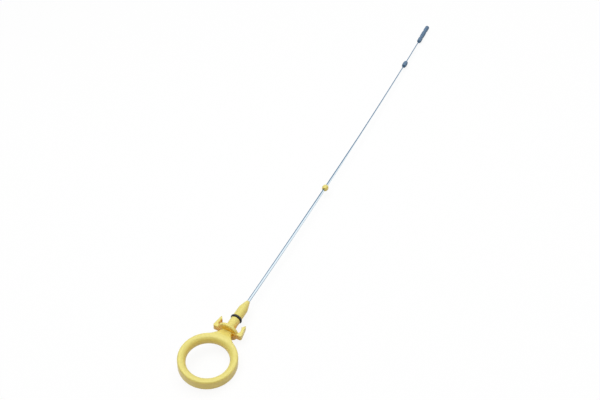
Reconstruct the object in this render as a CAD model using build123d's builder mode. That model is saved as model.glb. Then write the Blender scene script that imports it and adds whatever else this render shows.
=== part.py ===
import os
from math import asin, atan2, cos, hypot, radians, sin

from build123d import *

# Engine oil dipstick, lying as it comes to rest on a flat surface.
# The stick runs along +X. The origin is on its axis, at the flange's seat face,
# where the mouth of the guide tube stops. All sizes are in millimetres.

# Finger ring
ring_diameter = 42.0
ring_hole_diameter = 30.4
ring_thickness = 8.5
ring_edge_radius = 1.45
ring_centre_distance = 29.1

# Neck between the ring and the flange
neck_width = 8.6
neck_thickness = 5.2
neck_taper = 10.0

# Round flange that seats on the mouth of the guide tube
flange_diameter = 16.2
flange_thickness = 2.4
flange_bevel = 0.4

# Snap hooks that grip the collar of the guide tube, on arms set back from the flange's seat
hook_span = 23.4
hook_height = 4.8
arm_setback = 0.3
arm_overhang = 0.3
hook_reach = 7.2
prong_thickness = 2.25
prong_lean = 1.6
prong_land = 0.6
barb_depth = 0.4
barb_length = 2.3
hook_outer_radius = 1.3
hook_root_radius = 1.7
hook_bevel = 0.25

# Stem, seal groove, nose and cone
stem_diameter = 7.4
groove_start = 10.3
groove_width = 2.2
groove_diameter = 5.6
groove_bevel = 0.25
nose_diameter = 7.3
nose_end = 21.6
shoulder_radius = 6.0
cone_end = 29.0
cone_end_diameter = 3.1

# Rubber seal in the groove
seal_section = 1.8
seal_squeeze = 0.1
seal_side_gap = 0.1

# Line of the stick beyond the cone, which bends to one side and down to the surface
stick_span = 451.2
stick_bow = 14.4

# Steel blade, moulded into the handle at its root, with a quarter turn on its way down
blade_width = 2.1
blade_thickness = 0.7
blade_bevel = 0.22
blade_twist = 90.0
twist_run = 225.0
blade_sections = 17
root_depth = 17.0
anchor_hole_diameter = 1.0
anchor_hole_inset = 3.5

# Beads on the blade, placed by their distance from the end of the cone
guide_bead_place = 141.8
guide_bead_diameter = 5.4
guide_bead_length = 4.9
lower_bead_place = 362.6
lower_bead_diameter = 4.8
lower_bead_length = 8.6
bead_end_diameter = 3.8
bead_taper_share = 0.3
bead_edge_radius = 1.2

# Gauge tip, with its level notches placed from its far end
tip_diameter = 4.6
tip_length = 37.0
tip_cap = 6.0
tip_heel_diameter = 3.35
tip_heel_length = 1.5
low_notch_place = 11.6
high_notch_place = 26.2
notch_length = 4.6
notch_floor = 1.9
notch_depth = 0.4

# Radii and half sizes
ring_radius = ring_diameter / 2
hole_radius = ring_hole_diameter / 2
half_ring = ring_thickness / 2
crown_radius = hole_radius + half_ring
half_neck = neck_thickness / 2
half_width = neck_width / 2
half_span = hook_span / 2
flange_radius = flange_diameter / 2
flange_back = -flange_thickness
arm_back = flange_back - arm_overhang
arm_front = -arm_setback
stem_radius = stem_diameter / 2
nose_radius = nose_diameter / 2
groove_radius = groove_diameter / 2
groove_end = groove_start + groove_width
tip_radius = tip_diameter / 2

# Lying roll: the flange's rim and one edge of the ring touch the same surface
edge_height = half_ring - ring_edge_radius
edge_out = ring_radius - ring_edge_radius
rim_height = flange_radius - ring_edge_radius
lying_roll = asin(rim_height / hypot(edge_out, edge_height)) - atan2(edge_height, edge_out)
level = Plane(origin=(0, 0, 0), x_dir=(1, 0, 0), z_dir=(0, -sin(lying_roll), cos(lying_roll)))
upright = Plane(origin=(0, 0, 0), x_dir=(1, 0, 0), z_dir=-level.y_dir)

# The neck flares into the ring along an arc that starts at the flange, at the taper's angle
neck_reach = ring_centre_distance - flange_thickness
taper_run = cos(radians(neck_taper))
taper_rise = sin(radians(neck_taper))
flare_gap = ring_radius - neck_reach * taper_rise - half_width * taper_run
flare_radius = (neck_reach**2 + half_width**2 - ring_radius**2) / (2 * flare_gap)
flare_share = ring_radius / (ring_radius + flare_radius)
flare_end = (
    (neck_reach + flare_radius * taper_rise) * flare_share - ring_centre_distance,
    (half_width + flare_radius * taper_run) * flare_share,
)

# The stick's line ends where the gauge tip rests on the same surface as the flange
tip_drop = flange_radius - tip_radius
with BuildLine():
    stick = TangentArc((cone_end, 0, 0), (cone_end + stick_span, stick_bow, -tip_drop), tangent=(1, 0, 0))


def across_stick(distance):
    # Plane across the blade, at a distance from the end of the cone and turned with the twist
    share = distance / stick.length
    heading = stick % share
    turn = blade_twist * min(distance / twist_run, 1)
    width_direction = level.y_dir.rotate(Axis((0, 0, 0), heading), turn)
    return Plane(origin=stick @ share, x_dir=width_direction, z_dir=heading)


def along_stick(distance):
    # Plane along the stick there, for profiles that turn about the stick's own line
    share = distance / stick.length
    return Plane(origin=stick @ share, x_dir=stick % share, z_dir=level.y_dir.cross(stick % share))


def prong_face(x):
    # Outer face of a leaning prong, as its distance from the stick's axis
    return half_span - prong_lean * (x - arm_back) / (hook_reach - arm_back)


barb_start = hook_reach - barb_length
hook_corner = (arm_front, prong_face(arm_front) - prong_thickness)

# Steel blade: a straight root with an anchor hole, then the strip with its slow quarter turn
blade_length = stick.length - tip_cap
blade_root = cone_end - root_depth
with BuildPart() as blade:
    with BuildSketch(Plane(origin=(blade_root, 0, 0), x_dir=level.y_dir, z_dir=(1, 0, 0))):
        Rectangle(blade_width, blade_thickness)
        chamfer(vertices(), blade_bevel)
    extrude(amount=root_depth)
    with BuildSketch(level):
        with Locations((blade_root + anchor_hole_inset, 0)):
            Circle(anchor_hole_diameter / 2)
    extrude(amount=blade_thickness, both=True, mode=Mode.SUBTRACT)
    for section in range(blade_sections):
        with BuildSketch(across_stick(blade_length * section / (blade_sections - 1))):
            Rectangle(blade_width, blade_thickness)
            chamfer(vertices(), blade_bevel)
    loft(ruled=True)
blade.part.label = "blade"

# Snap hooks: flat arms beside the flange, leaning prongs and inward barbs
with BuildPart() as hooks:
    with BuildSketch(level):
        with BuildLine():
            Polyline(
                (arm_back, 0),
                (arm_back, half_span),
                (hook_reach, prong_face(hook_reach)),
                (hook_reach, prong_face(hook_reach) - prong_land),
                (barb_start, prong_face(barb_start) - prong_thickness - barb_depth),
                (barb_start, prong_face(barb_start) - prong_thickness),
                hook_corner,
                (arm_front, 0),
                close=True,
            )
        make_face()
        fillet(vertices().group_by(Axis.Y)[-1], hook_outer_radius)
        fillet(vertices().sort_by_distance(hook_corner)[0], hook_root_radius)
        mirror(about=Plane.XZ)
    extrude(amount=hook_height / 2, both=True)
    chamfer(faces().filter_by(level).edges(), hook_bevel)

# Handle: one moulding from the finger ring to the cone
with BuildPart() as handle:
    # Plan of the ring and its flared neck
    with BuildSketch(level):
        with Locations((-ring_centre_distance, 0)):
            Circle(ring_radius)
        with BuildLine():
            flare = TangentArc((flange_back, half_width), flare_end, tangent=(-taper_run, taper_rise))
            Polyline(flare @ 1, (-ring_centre_distance, 0), (flange_back, 0), flare @ 0)
        make_face()
        mirror(about=Plane.XZ)
    extrude(amount=half_ring, both=True)
    # Inside of the ring, rounded for the finger
    with BuildSketch(upright):
        with BuildLine():
            inside = CenterArc((crown_radius - ring_centre_distance, 0), half_ring, 90, 180)
            Polyline(
                inside @ 1,
                (-ring_centre_distance, -half_ring),
                (-ring_centre_distance, half_ring),
                inside @ 0,
            )
        make_face()
    revolve(axis=Axis((-ring_centre_distance, 0, 0), level.z_dir), mode=Mode.SUBTRACT)
    # The neck thins smoothly from the ring's crown to the flange, above and below
    with BuildSketch(upright):
        with BuildLine():
            slope = Spline(
                (crown_radius - ring_centre_distance, half_ring),
                (flange_back, half_neck),
                tangents=[(1, 0), (1, 0)],
            )
            Polyline(slope @ 1, (flange_back, half_ring), slope @ 0)
        make_face()
        mirror(about=Plane.XZ)
    extrude(amount=ring_radius, both=True, mode=Mode.SUBTRACT)
    outer_walls = faces().filter_by(GeomType.CYLINDER)
    fillet(outer_walls.edges().filter_by(GeomType.LINE, reverse=True), ring_edge_radius)
    # Flange, stem, seal groove, nose and cone
    with BuildSketch(Plane.XZ):
        with BuildLine():
            Polyline(
                (flange_back, 0),
                (flange_back, flange_radius),
                (0, flange_radius),
                (0, stem_radius),
                (groove_start, stem_radius),
                (groove_start, groove_radius),
                (groove_end, groove_radius),
                (groove_end, nose_radius),
                (nose_end, nose_radius),
                (cone_end, cone_end_diameter / 2),
                (cone_end, 0),
                close=True,
            )
        make_face()
        chamfer(vertices().group_by(Axis.Y)[-1], flange_bevel)
        fillet(vertices().sort_by_distance((nose_end, nose_radius))[0], shoulder_radius)
        chamfer(vertices().sort_by_distance((groove_start, stem_radius))[0], groove_bevel)
        chamfer(vertices().sort_by_distance((groove_end, nose_radius))[0], groove_bevel)
    revolve(axis=Axis.X)
    add(hooks.part)
    # Room for the blade's root, with the anchor hole moulded full
    add(blade.part, mode=Mode.SUBTRACT)
handle.part.label = "handle"

# Rubber seal, pressed flat on the floor of its groove
seal_radius = seal_section / 2
seal_place = groove_start + seal_side_gap + seal_radius
with BuildPart() as o_ring:
    with BuildSketch(Plane.XZ):
        with Locations((seal_place, groove_radius + seal_radius - seal_squeeze)):
            Circle(seal_radius)
        with Locations((seal_place, 0)):
            Rectangle(groove_width, groove_diameter, mode=Mode.SUBTRACT)
    revolve(axis=Axis.X)
o_ring.part.label = "o_ring"


def bead(label, place, length, diameter):
    # Barrel bead with tapered ends, moulded round the blade
    plane = along_stick(place)
    taper = length * bead_taper_share
    with BuildPart() as barrel:
        with BuildSketch(plane):
            with BuildLine():
                Polyline(
                    (-length / 2, 0),
                    (-length / 2, bead_end_diameter / 2),
                    (taper - length / 2, diameter / 2),
                    (length / 2 - taper, diameter / 2),
                    (length / 2, bead_end_diameter / 2),
                    (length / 2, 0),
                    close=True,
                )
            make_face()
            fillet(vertices().group_by(Axis.Y)[-1], bead_edge_radius)
        revolve(axis=Axis(plane.origin, plane.x_dir))
        add(blade.part, mode=Mode.SUBTRACT)
    barrel.part.label = label
    return barrel


guide_bead = bead("guide_bead", guide_bead_place, guide_bead_length, guide_bead_diameter)
lower_bead = bead("lower_bead", lower_bead_place, lower_bead_length, lower_bead_diameter)

# Gauge tip: a round rod with a tapered heel, a domed end and two shallow level notches
tip_plane = along_stick(stick.length)
with BuildPart() as gauge_tip:
    with BuildSketch(tip_plane):
        with BuildLine():
            dome = CenterArc((-tip_radius, 0), tip_radius, 0, 90)
            Polyline(
                dome @ 1,
                (tip_heel_length - tip_length, tip_radius),
                (-tip_length, tip_heel_diameter / 2),
                (-tip_length, 0),
                dome @ 0,
            )
        make_face()
        for place in (low_notch_place, high_notch_place):
            with BuildLine():
                Polyline(
                    (-place - notch_length / 2, tip_radius),
                    (-place - notch_floor / 2, tip_radius - notch_depth),
                    (-place + notch_floor / 2, tip_radius - notch_depth),
                    (-place + notch_length / 2, tip_radius),
                    close=True,
                )
            make_face(mode=Mode.SUBTRACT)
    revolve(axis=Axis(tip_plane.origin, tip_plane.x_dir))
    add(blade.part, mode=Mode.SUBTRACT)
gauge_tip.part.label = "gauge_tip"

os.makedirs("parts", exist_ok=True)
for piece in (handle, o_ring, blade, guide_bead, lower_bead, gauge_tip):
    export_step(piece.part, f"parts/{piece.part.label}.step")
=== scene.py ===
from math import atan2, cos, radians, sin, tau

import bmesh
import bpy
from mathutils import Matrix, Quaternion, Vector


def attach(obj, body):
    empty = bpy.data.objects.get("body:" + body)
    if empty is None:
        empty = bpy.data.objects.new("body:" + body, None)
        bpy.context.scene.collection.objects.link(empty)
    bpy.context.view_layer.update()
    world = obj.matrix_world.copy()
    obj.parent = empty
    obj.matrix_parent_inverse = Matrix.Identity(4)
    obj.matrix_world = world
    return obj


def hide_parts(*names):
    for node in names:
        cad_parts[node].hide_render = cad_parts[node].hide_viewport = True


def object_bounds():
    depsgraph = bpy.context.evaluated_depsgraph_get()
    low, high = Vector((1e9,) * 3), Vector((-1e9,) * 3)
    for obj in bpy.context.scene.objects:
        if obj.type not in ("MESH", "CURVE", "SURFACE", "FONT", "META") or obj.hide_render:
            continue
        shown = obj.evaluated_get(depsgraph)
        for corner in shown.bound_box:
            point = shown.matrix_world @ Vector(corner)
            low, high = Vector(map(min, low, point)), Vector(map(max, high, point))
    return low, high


mm = 0.001  # sizes below are in millimetres, the frame is in metres
weld = 1e-7  # points closer than this, in metres, are one point
white = (1, 1, 1, 1)

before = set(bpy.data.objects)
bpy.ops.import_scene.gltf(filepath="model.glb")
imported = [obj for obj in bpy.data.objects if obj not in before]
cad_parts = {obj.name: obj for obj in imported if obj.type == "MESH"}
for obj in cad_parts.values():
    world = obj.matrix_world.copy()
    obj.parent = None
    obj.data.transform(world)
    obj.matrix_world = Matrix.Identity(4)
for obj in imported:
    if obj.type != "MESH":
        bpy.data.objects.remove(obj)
cadLow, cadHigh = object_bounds()
scene = bpy.context.scene
scene.view_settings.view_transform = "Standard"
print("frame loaded:", ", ".join(sorted(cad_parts)))


def addNode(tree, kind, place, **settings):
    node = tree.nodes.new("ShaderNode" + kind)
    node.location = place
    for name, value in settings.items():
        setattr(node, name, value)
    return node


def setInputs(node, **values):
    for name, value in values.items():
        node.inputs[name].default_value = value
    return node


def feed(tree, socket, term):
    # A socket takes a link from another socket, or else a plain value
    if isinstance(term, bpy.types.NodeSocket):
        tree.links.new(term, socket)
    else:
        socket.default_value = term


def addMath(tree, place, operation, *terms):
    node = addNode(tree, "Math", place, operation=operation)
    for socket, term in zip(node.inputs, terms):
        feed(tree, socket, term)
    return node.outputs["Value"]


def mapRange(tree, place, value, span, top=1.0, curve="LINEAR"):
    # 0 at the start of the span and the top value at its end
    node = addNode(tree, "MapRange", place, interpolation_type=curve)
    setInputs(node, **{"From Min": span[0], "From Max": span[1], "To Max": top})
    tree.links.new(value, node.inputs["Value"])
    return node.outputs["Result"]


def mixColour(tree, place, share, first, second):
    node = addNode(tree, "Mix", place, data_type="RGBA")
    for name, term in (("Factor", share), ("A", first), ("B", second)):
        feed(tree, node.inputs[name], term)
    return node.outputs["Result"]


def mixShader(tree, place, share, first, second):
    node = addNode(tree, "MixShader", place)
    for socket, term in zip(node.inputs, (share, first, second)):
        tree.links.new(term, socket)
    return node.outputs["Shader"]


def rgba(colour):
    return (*colour, 1.0)


def newGroup(name, inputs, outputs):
    tree = bpy.data.node_groups.new(name, "ShaderNodeTree")
    for label, kind, value in inputs:
        socket = tree.interface.new_socket(label, in_out="INPUT", socket_type="NodeSocket" + kind)
        socket.default_value = value
    for label, kind in outputs:
        tree.interface.new_socket(label, in_out="OUTPUT", socket_type="NodeSocket" + kind)
    entry = tree.nodes.new("NodeGroupInput")
    entry.location = (-900, 0)
    leave = tree.nodes.new("NodeGroupOutput")
    leave.location = (500, 0)
    return tree, entry, leave


def newMaterial(name):
    material = bpy.data.materials.new(name)
    material.use_nodes = True
    tree = material.node_tree
    return material, tree, tree.nodes["Principled BSDF"]


# Skin of a moulding: slow clouding of the colour and the gloss, a fine grain, and painted shade, a deeper
# tone painted on faces that turn away from up and in nooks found by ambient occlusion
skinFeel = {
    "cloudBand": (0.35, 0.65),
    "cloudDetail": 3.0,
    "cloudRoughness": 0.55,
    "grainDetail": 2.0,
    "openness": (0.92, 0.62),  # where the painted shade in a nook starts and where it is full
    "upturn": (0.8, 0.3),  # where the painted shade on a side starts and where it is full, by how far it faces up
    "sideShadeShare": 0.35,  # of the painted shade's full tone on an open side
    "shadeSamples": 8,
}


def skinAndShadeGroup(feel):
    tree, entry, leave = newGroup(
        "moulded skin and painted shade",
        [
            ("Colour", "Color", (0.5, 0.5, 0.5, 1)),
            ("Deep", "Color", (0.4, 0.4, 0.4, 1)),
            ("Nook", "Color", (0.3, 0.3, 0.3, 1)),
            ("Reach", "Float", 0.006),
            ("Clouds", "Float", 120.0),
            ("Grain", "Float", 3000.0),
            ("Gloss", "Float", 0.4),
            ("Spread", "Float", 0.1),
        ],
        [("Colour", "Color"), ("Roughness", "Float"), ("Height", "Float")],
    )
    link = tree.links.new
    coords = addNode(tree, "TexCoord", (-900, 250))
    clouds = addNode(tree, "TexNoise", (-650, 250))
    setInputs(clouds, Detail=feel["cloudDetail"], Roughness=feel["cloudRoughness"])
    link(coords.outputs["Object"], clouds.inputs["Vector"])
    link(entry.outputs["Clouds"], clouds.inputs["Scale"])
    cloud = clouds.outputs["Fac"]
    cloudy = mapRange(tree, (-400, 250), cloud, feel["cloudBand"])
    tint = mixColour(tree, (-100, 250), cloudy, entry.outputs["Colour"], entry.outputs["Deep"])
    # Painted shade: ambient occlusion within the piece, and faces turned away from up, blend the colour
    # toward the shade tone
    around = addNode(tree, "AmbientOcclusion", (-400, 500), samples=feel["shadeSamples"], only_local=True)
    link(entry.outputs["Reach"], around.inputs["Distance"])
    closed = mapRange(tree, (-150, 500), around.outputs["AO"], feel["openness"])
    facing = addNode(tree, "NewGeometry", (-650, 750))
    upward = addNode(tree, "SeparateXYZ", (-400, 750))
    link(facing.outputs["Normal"], upward.inputs["Vector"])
    aside = mapRange(tree, (-150, 750), upward.outputs["Z"], feel["upturn"])
    shadeDepth = addMath(tree, (0, 600), "MULTIPLY_ADD", closed, 1 - feel["sideShadeShare"], feel["sideShadeShare"])
    paintedShade = addMath(tree, (100, 700), "MULTIPLY", shadeDepth, aside)
    # the colour with the painted shade mixed in
    shaded = mixColour(tree, (250, 250), paintedShade, tint, entry.outputs["Nook"])
    link(shaded, leave.inputs["Colour"])
    grain = setInputs(addNode(tree, "TexNoise", (-650, -50)), Detail=feel["grainDetail"])
    link(coords.outputs["Object"], grain.inputs["Vector"])
    link(entry.outputs["Grain"], grain.inputs["Scale"])
    link(grain.outputs["Fac"], leave.inputs["Height"])
    sway = addMath(
        tree, (-400, -250), "MULTIPLY_ADD", cloud, entry.outputs["Spread"], entry.outputs["Gloss"]
    )
    link(sway, leave.inputs["Roughness"])
    return tree


skinAndShade = skinAndShadeGroup(skinFeel)


def mouldedMaterial(name, look):
    material, tree, shader = newMaterial(name)
    skin = addNode(tree, "Group", (-500, 200), node_tree=skinAndShade)
    setInputs(
        skin,
        Colour=rgba(look["colour"]),
        Deep=rgba(look["deep"]),
        Nook=rgba(look["paintedShade"]),
        Reach=look["nookReach"] * mm,
        Clouds=look["clouds"],
        Grain=look["grain"],
        Gloss=look["gloss"],
        Spread=look["spread"],
    )
    bump = addNode(tree, "Bump", (-250, -200))
    setInputs(bump, Strength=look["bump"], Distance=look["bumpDepth"] * mm)
    tree.links.new(skin.outputs["Colour"], shader.inputs["Base Color"])
    tree.links.new(skin.outputs["Roughness"], shader.inputs["Roughness"])
    tree.links.new(skin.outputs["Height"], bump.inputs["Height"])
    tree.links.new(bump.outputs["Normal"], shader.inputs["Normal"])
    shader.inputs["Specular IOR Level"].default_value = look["specular"]
    return material


yellowLook = {
    "colour": (0.84, 0.74, 0.2),
    "deep": (0.825, 0.72, 0.185),
    # painted shade tone for sides and nooks
    "paintedShade": (0.9, 0.52, 0.02),
    "nookReach": 8.0,
    "clouds": 140.0,
    "grain": 2600.0,
    "gloss": 0.3,
    "spread": 0.12,
    "bump": 0.12,
    "bumpDepth": 0.04,
    "specular": 0.9,
}
greyLook = {
    "colour": (0.14, 0.23, 0.345),
    "deep": (0.105, 0.18, 0.285),
    # painted shade tone for sides and nooks
    "paintedShade": (0.07, 0.13, 0.21),
    "nookReach": 3.0,
    "clouds": 260.0,
    "grain": 3200.0,
    "gloss": 0.5,
    "spread": 0.14,
    "bump": 0.2,
    "bumpDepth": 0.05,
    "specular": 0.3,
}
rubberLook = {
    "colour": (0.022, 0.022, 0.026),
    "deep": (0.034, 0.034, 0.04),
    # painted shade tone for sides and nooks
    "paintedShade": (0.015, 0.015, 0.018),
    "nookReach": 1.5,
    "clouds": 420.0,
    "grain": 2800.0,
    "gloss": 0.42,
    "spread": 0.2,
    "bump": 0.25,
    "bumpDepth": 0.05,
    "specular": 0.5,
}
yellowPlastic = mouldedMaterial("satin yellow plastic", yellowLook)
greyPlastic = mouldedMaterial("matt blue-grey plastic", greyLook)
sealRubber = mouldedMaterial("black seal rubber", rubberLook)

# Rolled steel strip: bright along the middle, with painted shade in dark blue along its edges, wider on
# one edge than the other, and fine lines along its length
steelLook = {
    "middle": (0.81, 0.92, 0.98),
    # painted shade colour along the strip's edges
    "edge": (0.05, 0.175, 0.32),
    "wideEdgeShade": (0.3, 0.65),  # shares of the half width where the painted edge shade starts and where it is full
    "slimEdgeShade": (0.6, 0.9),
    "lineStretch": (6.0, 900.0, 900.0),
    "lineDetail": 3.0,
    "lineRoughness": 0.6,
    "lineDepth": 0.02,
    "lineBump": 0.1,
    "gloss": 0.12,
    "glossSpread": 0.1,
}


def steelMaterial(look):
    material, tree, shader = newMaterial("rolled spring steel")
    link = tree.links.new
    coords = addNode(tree, "TexCoord", (-1100, 0))
    stretch = setInputs(addNode(tree, "Mapping", (-900, 0)), Scale=look["lineStretch"])
    lines = addNode(tree, "TexNoise", (-700, 0))
    setInputs(lines, Scale=1.0, Detail=look["lineDetail"], Roughness=look["lineRoughness"])
    link(coords.outputs["Object"], stretch.inputs["Vector"])
    link(stretch.outputs["Vector"], lines.inputs["Vector"])
    across = addNode(tree, "Attribute", (-900, 350), attribute_name="across").outputs["Fac"]
    otherSide = [-share for share in look["slimEdgeShade"]]
    wideShade = mapRange(tree, (-700, 500), across, look["wideEdgeShade"], curve="SMOOTHSTEP")
    slimShade = mapRange(tree, (-700, 250), across, otherSide, curve="SMOOTHSTEP")
    # painted shade on both edges of the strip, wider on one
    edge = addMath(tree, (-550, 350), "MAXIMUM", wideShade, slimShade)
    tone = mixColour(tree, (-450, 350), edge, rgba(look["middle"]), rgba(look["edge"]))
    link(tone, shader.inputs["Base Color"])
    line = lines.outputs["Fac"]
    rough = addMath(tree, (-450, 0), "MULTIPLY_ADD", line, look["glossSpread"], look["gloss"])
    link(rough, shader.inputs["Roughness"])
    bump = addNode(tree, "Bump", (-250, -250))
    setInputs(bump, Strength=look["lineBump"], Distance=look["lineDepth"] * mm)
    link(line, bump.inputs["Height"])
    link(bump.outputs["Normal"], shader.inputs["Normal"])
    shader.inputs["Metallic"].default_value = 1.0
    return material


springSteel = steelMaterial(steelLook)
print("finishes ready")

# Line of the stick beyond the cone, bent to one side and down to the floor
stickLine = {
    "coneEnd": 29.0,
    "span": 451.2,
    "bow": 14.4,
    "drop": 5.8,
    "rollDeg": 11.5264,
    "twistDeg": 90.0,
    "twistRun": 225.0,
}
stickStart = Vector((stickLine["coneEnd"], 0, 0)) * mm
stickSway = Vector((0, stickLine["bow"], -stickLine["drop"])) * mm
bendSide = stickSway.normalized()
bendAngle = 2 * atan2(stickSway.length, stickLine["span"] * mm)
bendRadius = stickLine["span"] * mm / sin(bendAngle)
stickLength = bendRadius * bendAngle
rollAngle = radians(stickLine["rollDeg"])
firstWidth = Vector((0, cos(rollAngle), sin(rollAngle)))


def stickFrame(distance, twisted=True):
    # Frame on the stick at a distance from the cone: X along the stick, Y across the blade's width
    angle = distance / bendRadius
    heading = Vector((cos(angle), 0, 0)) + bendSide * sin(angle)
    along = Vector((sin(angle), 0, 0)) * bendRadius
    origin = stickStart + along + bendSide * bendRadius * (1 - cos(angle))
    width = (firstWidth - heading * firstWidth.dot(heading)).normalized()
    if twisted:
        turn = radians(stickLine["twistDeg"]) * min(distance / (stickLine["twistRun"] * mm), 1)
        width = Quaternion(heading, turn) @ width
    axes = Matrix((heading, width, heading.cross(width))).transposed()
    return Matrix.Translation(origin) @ axes.to_4x4()


def roundOff(bm, geom, offset, steps, affect, clamp=False):
    bmesh.ops.bevel(
        bm,
        geom=geom,
        offset=offset * mm,
        offset_type="OFFSET",
        segments=steps,
        profile=0.5,
        affect=affect,
        clamp_overlap=clamp,
        material=-1,
    )


def spinRound(bm, turns):
    # Spin an outline once round the X axis
    bmesh.ops.spin(
        bm,
        geom=bm.verts[:] + bm.edges[:],
        cent=(0, 0, 0),
        axis=(1, 0, 0),
        angle=tau,
        steps=turns,
        use_merge=True,
    )
    bmesh.ops.remove_doubles(bm, verts=bm.verts, dist=weld)
    bmesh.ops.recalc_face_normals(bm, faces=bm.faces)


def smoothEdges(bm, sharpDeg):
    for face in bm.faces:
        face.smooth = True
    for edge in bm.edges:
        edge.smooth = len(edge.link_faces) == 2 and edge.calc_face_angle() < radians(sharpDeg)


def finishPiece(bm, name, material, node):
    mesh = bpy.data.meshes.new(name)
    bm.to_mesh(mesh)
    bm.free()
    mesh.materials.append(material)
    piece = bpy.data.objects.new(name, mesh)
    scene.collection.objects.link(piece)
    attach(piece, "root")
    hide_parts(node)
    print(name, "made,", len(mesh.polygons), "faces")
    return piece


# Handle: the moulding's own solid, merged, with its moulded edges broken
handleSize = {
    "merge": 0.002,
    "flatDeg": 0.4,
    "edgeDeg": 28.0,
    "edgeBreak": 0.1,
    "edgeSteps": 2,
    "sharpDeg": 40.0,
    "flatWeight": 80,
}


def makeHandle(size):
    bm = bmesh.new()
    bm.from_mesh(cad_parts["handle"].data)
    bmesh.ops.remove_doubles(bm, verts=bm.verts, dist=size["merge"] * mm)
    bmesh.ops.dissolve_limit(
        bm, angle_limit=radians(size["flatDeg"]), verts=bm.verts, edges=bm.edges, delimit={"NORMAL"}
    )
    crisp = [
        edge
        for edge in bm.edges
        if len(edge.link_faces) == 2 and edge.calc_face_angle() > radians(size["edgeDeg"])
    ]
    roundOff(bm, crisp, size["edgeBreak"], size["edgeSteps"], "EDGES", clamp=True)
    smoothEdges(bm, size["sharpDeg"])
    piece = finishPiece(bm, "handleMoulding", yellowPlastic, "handle")
    weights = piece.modifiers.new("flat faces", "WEIGHTED_NORMAL")
    weights.keep_sharp = True
    weights.weight = size["flatWeight"]


makeHandle(handleSize)

# Turned pieces: a closed outline of (along, radius, run) corners, each rounded off by its own run
turnedSize = {"turns": 64, "cornerSteps": 8, "sharpDeg": 40.0}


def makeTurned(name, outline, place, material, node):
    bm = bmesh.new()
    corners = [bm.verts.new((along * mm, radius * mm, 0)) for along, radius, run in outline]
    bm.faces.new(corners)
    for corner, (along, radius, run) in zip(corners, outline):
        if run > 0:
            roundOff(bm, [corner], run, turnedSize["cornerSteps"], "VERTICES")
    bmesh.ops.delete(bm, geom=bm.faces[:], context="FACES_ONLY")
    onAxis = [edge for edge in bm.edges if all(vert.co.y < weld for vert in edge.verts)]
    bmesh.ops.delete(bm, geom=onAxis, context="EDGES")
    spinRound(bm, turnedSize["turns"])
    bmesh.ops.transform(bm, matrix=stickFrame(place, twisted=False), verts=bm.verts)
    smoothEdges(bm, turnedSize["sharpDeg"])
    finishPiece(bm, name, material, node)


# Seal ring, pressed flat on the floor of its groove
sealSize = {
    "section": 1.8,
    "place": 11.3,
    "grooveDiameter": 5.6,
    "squeeze": 0.1,
    "turns": 72,
    "sides": 24,
    "sharpDeg": 50.0,
}


def makeSeal(size):
    radius = size["section"] / 2
    floorRadius = size["grooveDiameter"] / 2
    bm = bmesh.new()
    bmesh.ops.create_circle(bm, segments=size["sides"], radius=radius * mm)
    centre = Vector((size["place"], floorRadius + radius - size["squeeze"], 0)) * mm
    bmesh.ops.translate(bm, vec=centre, verts=bm.verts)
    bmesh.ops.bisect_plane(
        bm,
        geom=bm.verts[:] + bm.edges[:],
        plane_co=(0, floorRadius * mm, 0),
        plane_no=(0, 1, 0),
        clear_inner=True,
    )
    bm.edges.new([vert for vert in bm.verts if len(vert.link_edges) == 1])
    spinRound(bm, size["turns"])
    smoothEdges(bm, size["sharpDeg"])
    finishPiece(bm, "sealRing", sealRubber, "o_ring")


makeSeal(sealSize)

# Blade: a flat strip drawn along the stick, twisting as it goes
bladeSize = {
    "width": 2.1,
    "thickness": 0.7,
    "edgeBevel": 0.22,
    "bevelSteps": 3,
    "rootDepth": 17.0,
    "tipCover": 6.0,
    "steps": 120,
    "lanes": 8,
    "sharpDeg": 50.0,
}


def makeBlade(size):
    bm = bmesh.new()
    bmesh.ops.create_grid(bm, x_segments=size["lanes"], y_segments=2, size=0.5)
    bmesh.ops.scale(bm, vec=(size["width"] * mm, size["thickness"] * mm, 1), verts=bm.verts)
    rim = [vert for vert in bm.verts if len(vert.link_faces) == 1]
    roundOff(bm, rim, size["edgeBevel"], size["bevelSteps"], "VERTICES")
    # From -1 at one edge to 1 at the other, for the painted shade along the steel's edges
    across = bm.verts.layers.float.new("across")
    halfWidth = size["width"] * mm / 2
    for vert in bm.verts:
        vert[across] = vert.co.x / halfWidth
    upright = Matrix(((0, 0, 1, 0), (1, 0, 0, 0), (0, 1, 0, 0), (0, 0, 0, 1)))  # strip's X to Y, Y to Z
    bmesh.ops.transform(bm, matrix=upright, verts=bm.verts)
    # The root goes straight back into the stem
    last = Matrix.Translation((-size["rootDepth"] * mm, 0, 0)) @ stickFrame(0)
    bmesh.ops.transform(bm, matrix=last, verts=bm.verts)
    reach = stickLength - size["tipCover"] * mm
    capFaces = bm.faces[:]
    for step in range(size["steps"] + 1):
        here = stickFrame(reach * step / size["steps"])
        grown = bmesh.ops.extrude_face_region(bm, geom=capFaces)
        if step > 0:  # only the root's own cap stays behind
            bmesh.ops.delete(bm, geom=capFaces, context="FACES")
        capFaces = [item for item in grown["geom"] if isinstance(item, bmesh.types.BMFace)]
        capVerts = [item for item in grown["geom"] if isinstance(item, bmesh.types.BMVert)]
        bmesh.ops.transform(bm, matrix=here @ last.inverted(), verts=capVerts)
        last = here
    bmesh.ops.recalc_face_normals(bm, faces=bm.faces)
    smoothEdges(bm, size["sharpDeg"])
    finishPiece(bm, "steelBlade", springSteel, "blade")


makeBlade(bladeSize)

# Barrel beads on the blade
beadShare = {"endDiameter": 3.8, "taperShare": 0.3, "shoulderRun": 0.7, "rimRun": 0.25}
guideBeadSize = {"place": 141.8, "diameter": 5.4, "length": 4.9}
lowerBeadSize = {"place": 362.6, "diameter": 4.8, "length": 8.6}


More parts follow.
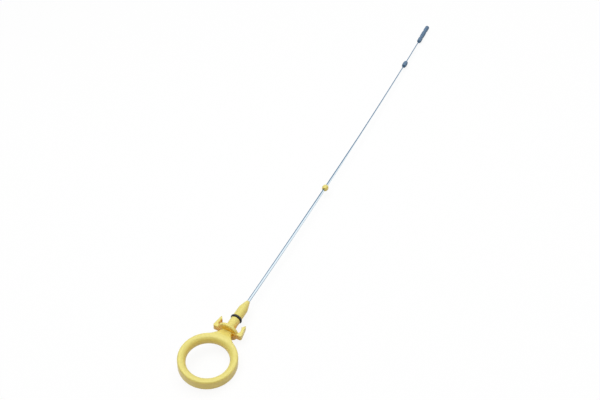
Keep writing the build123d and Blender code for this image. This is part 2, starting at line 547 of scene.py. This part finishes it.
def beadOutline(size):
    half = size["length"] / 2
    belly = size["diameter"] / 2
    end = beadShare["endDiameter"] / 2
    taper = size["length"] * beadShare["taperShare"]
    return [
        (-half, 0, 0),
        (-half, end, beadShare["rimRun"]),
        (taper - half, belly, beadShare["shoulderRun"]),
        (half - taper, belly, beadShare["shoulderRun"]),
        (half, end, beadShare["rimRun"]),
        (half, 0, 0),
    ]


makeTurned(
    "guideBead",
    beadOutline(guideBeadSize),
    guideBeadSize["place"] * mm,
    yellowPlastic,
    "guide_bead",
)
makeTurned(
    "lowerBead",
    beadOutline(lowerBeadSize),
    lowerBeadSize["place"] * mm,
    greyPlastic,
    "lower_bead",
)

# Gauge tip: a round rod with a tapered heel, a domed end and two level notches
tipSize = {
    "diameter": 4.6,
    "length": 37.0,
    "domeShare": 0.999,
    "heelDiameter": 3.35,
    "heelLength": 1.5,
    "notchPlaces": (11.6, 26.2),
    "notchLength": 4.6,
    "notchFloor": 1.9,
    "notchDepth": 0.4,
    "notchRun": 0.6,
    "heelRun": 0.5,
    "rimRun": 0.25,
}


def tipOutline(size):
    radius = size["diameter"] / 2
    floor = radius - size["notchDepth"]
    outline = [(0, 0, 0), (0, radius, radius * size["domeShare"])]
    for place in size["notchPlaces"]:
        outline += [
            (-place + size["notchLength"] / 2, radius, size["notchRun"]),
            (-place + size["notchFloor"] / 2, floor, size["notchRun"]),
            (-place - size["notchFloor"] / 2, floor, size["notchRun"]),
            (-place - size["notchLength"] / 2, radius, size["notchRun"]),
        ]
    return outline + [
        (size["heelLength"] - size["length"], radius, size["heelRun"]),
        (-size["length"], size["heelDiameter"] / 2, size["rimRun"]),
        (-size["length"], 0, 0),
    ]


makeTurned("gaugeTip", tipOutline(tipSize), stickLength, greyPlastic, "gauge_tip")


def seenRay(tree, path, place):
    # 1 for what the camera sees, also through clear things
    return addMath(
        tree, place, "MAXIMUM", path.outputs["Is Camera Ray"], path.outputs["Is Transmission Ray"]
    )


# White sweep under the dipstick, which the camera sees as white but for the shadow
sweepLook = {
    "reach": 9.0,
    "sides": 64,
    "middle": 0.2,
    "paper": 0.62,
    "whiteShare": 0.9,
    "mirrorShare": 0.6,  # of the white in what glossy things mirror
}


def makeSweep(look):
    bm = bmesh.new()
    bmesh.ops.create_circle(bm, cap_ends=True, segments=look["sides"], radius=look["reach"])
    bmesh.ops.translate(bm, vec=(look["middle"], 0, cadLow[2]), verts=bm.verts)
    mesh = bpy.data.meshes.new("paperSweep")
    bm.to_mesh(mesh)
    bm.free()
    sweep = bpy.data.objects.new("paperSweep", mesh)
    scene.collection.objects.link(sweep)
    material = bpy.data.materials.new("white paper")
    material.use_nodes = True
    tree = material.node_tree
    tree.nodes.clear()
    path = addNode(tree, "LightPath", (-900, 200))
    clear = seenRay(tree, path, (-700, 200))
    mirrored = addMath(tree, (-700, 0), "MULTIPLY", path.outputs["Is Glossy Ray"], look["mirrorShare"])
    seen = addMath(tree, (-500, 200), "MAXIMUM", clear, mirrored)
    paper = addNode(tree, "BsdfDiffuse", (0, 0))
    tone = mixColour(tree, (-250, 0), seen, rgba([look["paper"]] * 3), white)
    tree.links.new(tone, paper.inputs["Color"])
    glow = addNode(tree, "Emission", (0, -200))
    share = addMath(tree, (0, 200), "MULTIPLY", seen, look["whiteShare"])
    both = mixShader(tree, (250, 0), share, paper.outputs["BSDF"], glow.outputs["Emission"])
    out = addNode(tree, "OutputMaterial", (450, 0))
    tree.links.new(both, out.inputs["Surface"])
    mesh.materials.append(material)


makeSweep(sweepLook)

# Soft light from above and a little behind, with a gentle fill all round. Glossy things mirror a room that
# is dim behind the camera, with a bright far wall and a panel above
lightLook = {
    "fill": 0.36,
    "roomLevel": 0.25,
    "farWall": {"way": (0.75, -0.3, 0.6), "span": (-0.1, 0.75), "gain": 0.75},
    "topPanel": {"way": (-0.19, -0.08, 0.98), "span": (0.86, 0.97), "gain": 1.3},
    "boxPlace": (0.2, 0.05, 1.3),
    "boxAim": (0.12, 0.0, 0.0),
    "boxSize": 1.6,
    "boxPower": 15.8,
}


def addBackground(tree, place, strength):
    node = setInputs(addNode(tree, "Background", place), Color=white)
    feed(tree, node.inputs["Strength"], strength)
    return node.outputs["Background"]


def makeWorld(look):
    world = bpy.data.worlds.new("studio")
    world.use_nodes = True
    scene.world = world
    tree = world.node_tree
    tree.nodes.clear()
    ways = addNode(tree, "TexCoord", (-1100, -200))
    level = look["roomLevel"]
    for row, name in enumerate(("farWall", "topPanel")):
        patch = look[name]
        height = -200 - 200 * row
        towards = addNode(tree, "VectorMath", (-900, height), operation="DOT_PRODUCT")
        towards.inputs[1].default_value = Vector(patch["way"]).normalized()
        tree.links.new(ways.outputs["Generated"], towards.inputs[0])
        bright = mapRange(
            tree, (-700, height), towards.outputs["Value"], patch["span"], patch["gain"], "SMOOTHSTEP"
        )
        level = addMath(tree, (-500, height), "ADD", bright, level)
    fill = addBackground(tree, (-100, 0), look["fill"])
    room = addBackground(tree, (-100, -200), level)
    backdrop = addBackground(tree, (-100, -400), 1.0)
    path = addNode(tree, "LightPath", (-500, 300))
    mirrored = mixShader(tree, (150, 0), path.outputs["Is Glossy Ray"], fill, room)
    both = mixShader(tree, (350, 0), seenRay(tree, path, (-300, 300)), mirrored, backdrop)
    out = addNode(tree, "OutputWorld", (550, 0))
    tree.links.new(both, out.inputs["Surface"])


def makeLamp(look):
    lamp = bpy.data.lights.new("softBox", "AREA")
    lamp.shape = "SQUARE"
    lamp.size = look["boxSize"]
    lamp.energy = look["boxPower"]
    box = bpy.data.objects.new("softBox", lamp)
    box.location = look["boxPlace"]
    box.visible_glossy = False  # the room is what glossy things mirror
    aim = Vector(look["boxAim"]) - box.location
    box.rotation_euler = aim.to_track_quat("-Z", "Y").to_euler()
    scene.collection.objects.link(box)


makeWorld(lightLook)
makeLamp(lightLook)

# Camera at the photograph's viewing angle
cameraView = {
    "place": (-0.29269, -0.258109, 0.41351),
    "heading": (0.665111, 0.411586, -0.623076),
    "rollDeg": -9.277,
    "lens": 46.8,
    "sensor": 36.0,
    "near": 0.01,
    "far": 50.0,
}


def makeCamera(view):
    lens = bpy.data.cameras.new("photoCamera")
    lens.sensor_fit = "HORIZONTAL"
    lens.sensor_width = view["sensor"]
    lens.lens = view["lens"]
    lens.clip_start = view["near"]
    lens.clip_end = view["far"]
    camera = bpy.data.objects.new("photoCamera", lens)
    camera.location = view["place"]
    turn = Vector(view["heading"]).to_track_quat("-Z", "Y")
    turn = turn @ Quaternion((0, 0, 1), radians(view["rollDeg"]))
    camera.rotation_euler = turn.to_euler()
    scene.collection.objects.link(camera)
    scene.camera = camera


makeCamera(cameraView)
print("stage, light and camera set")
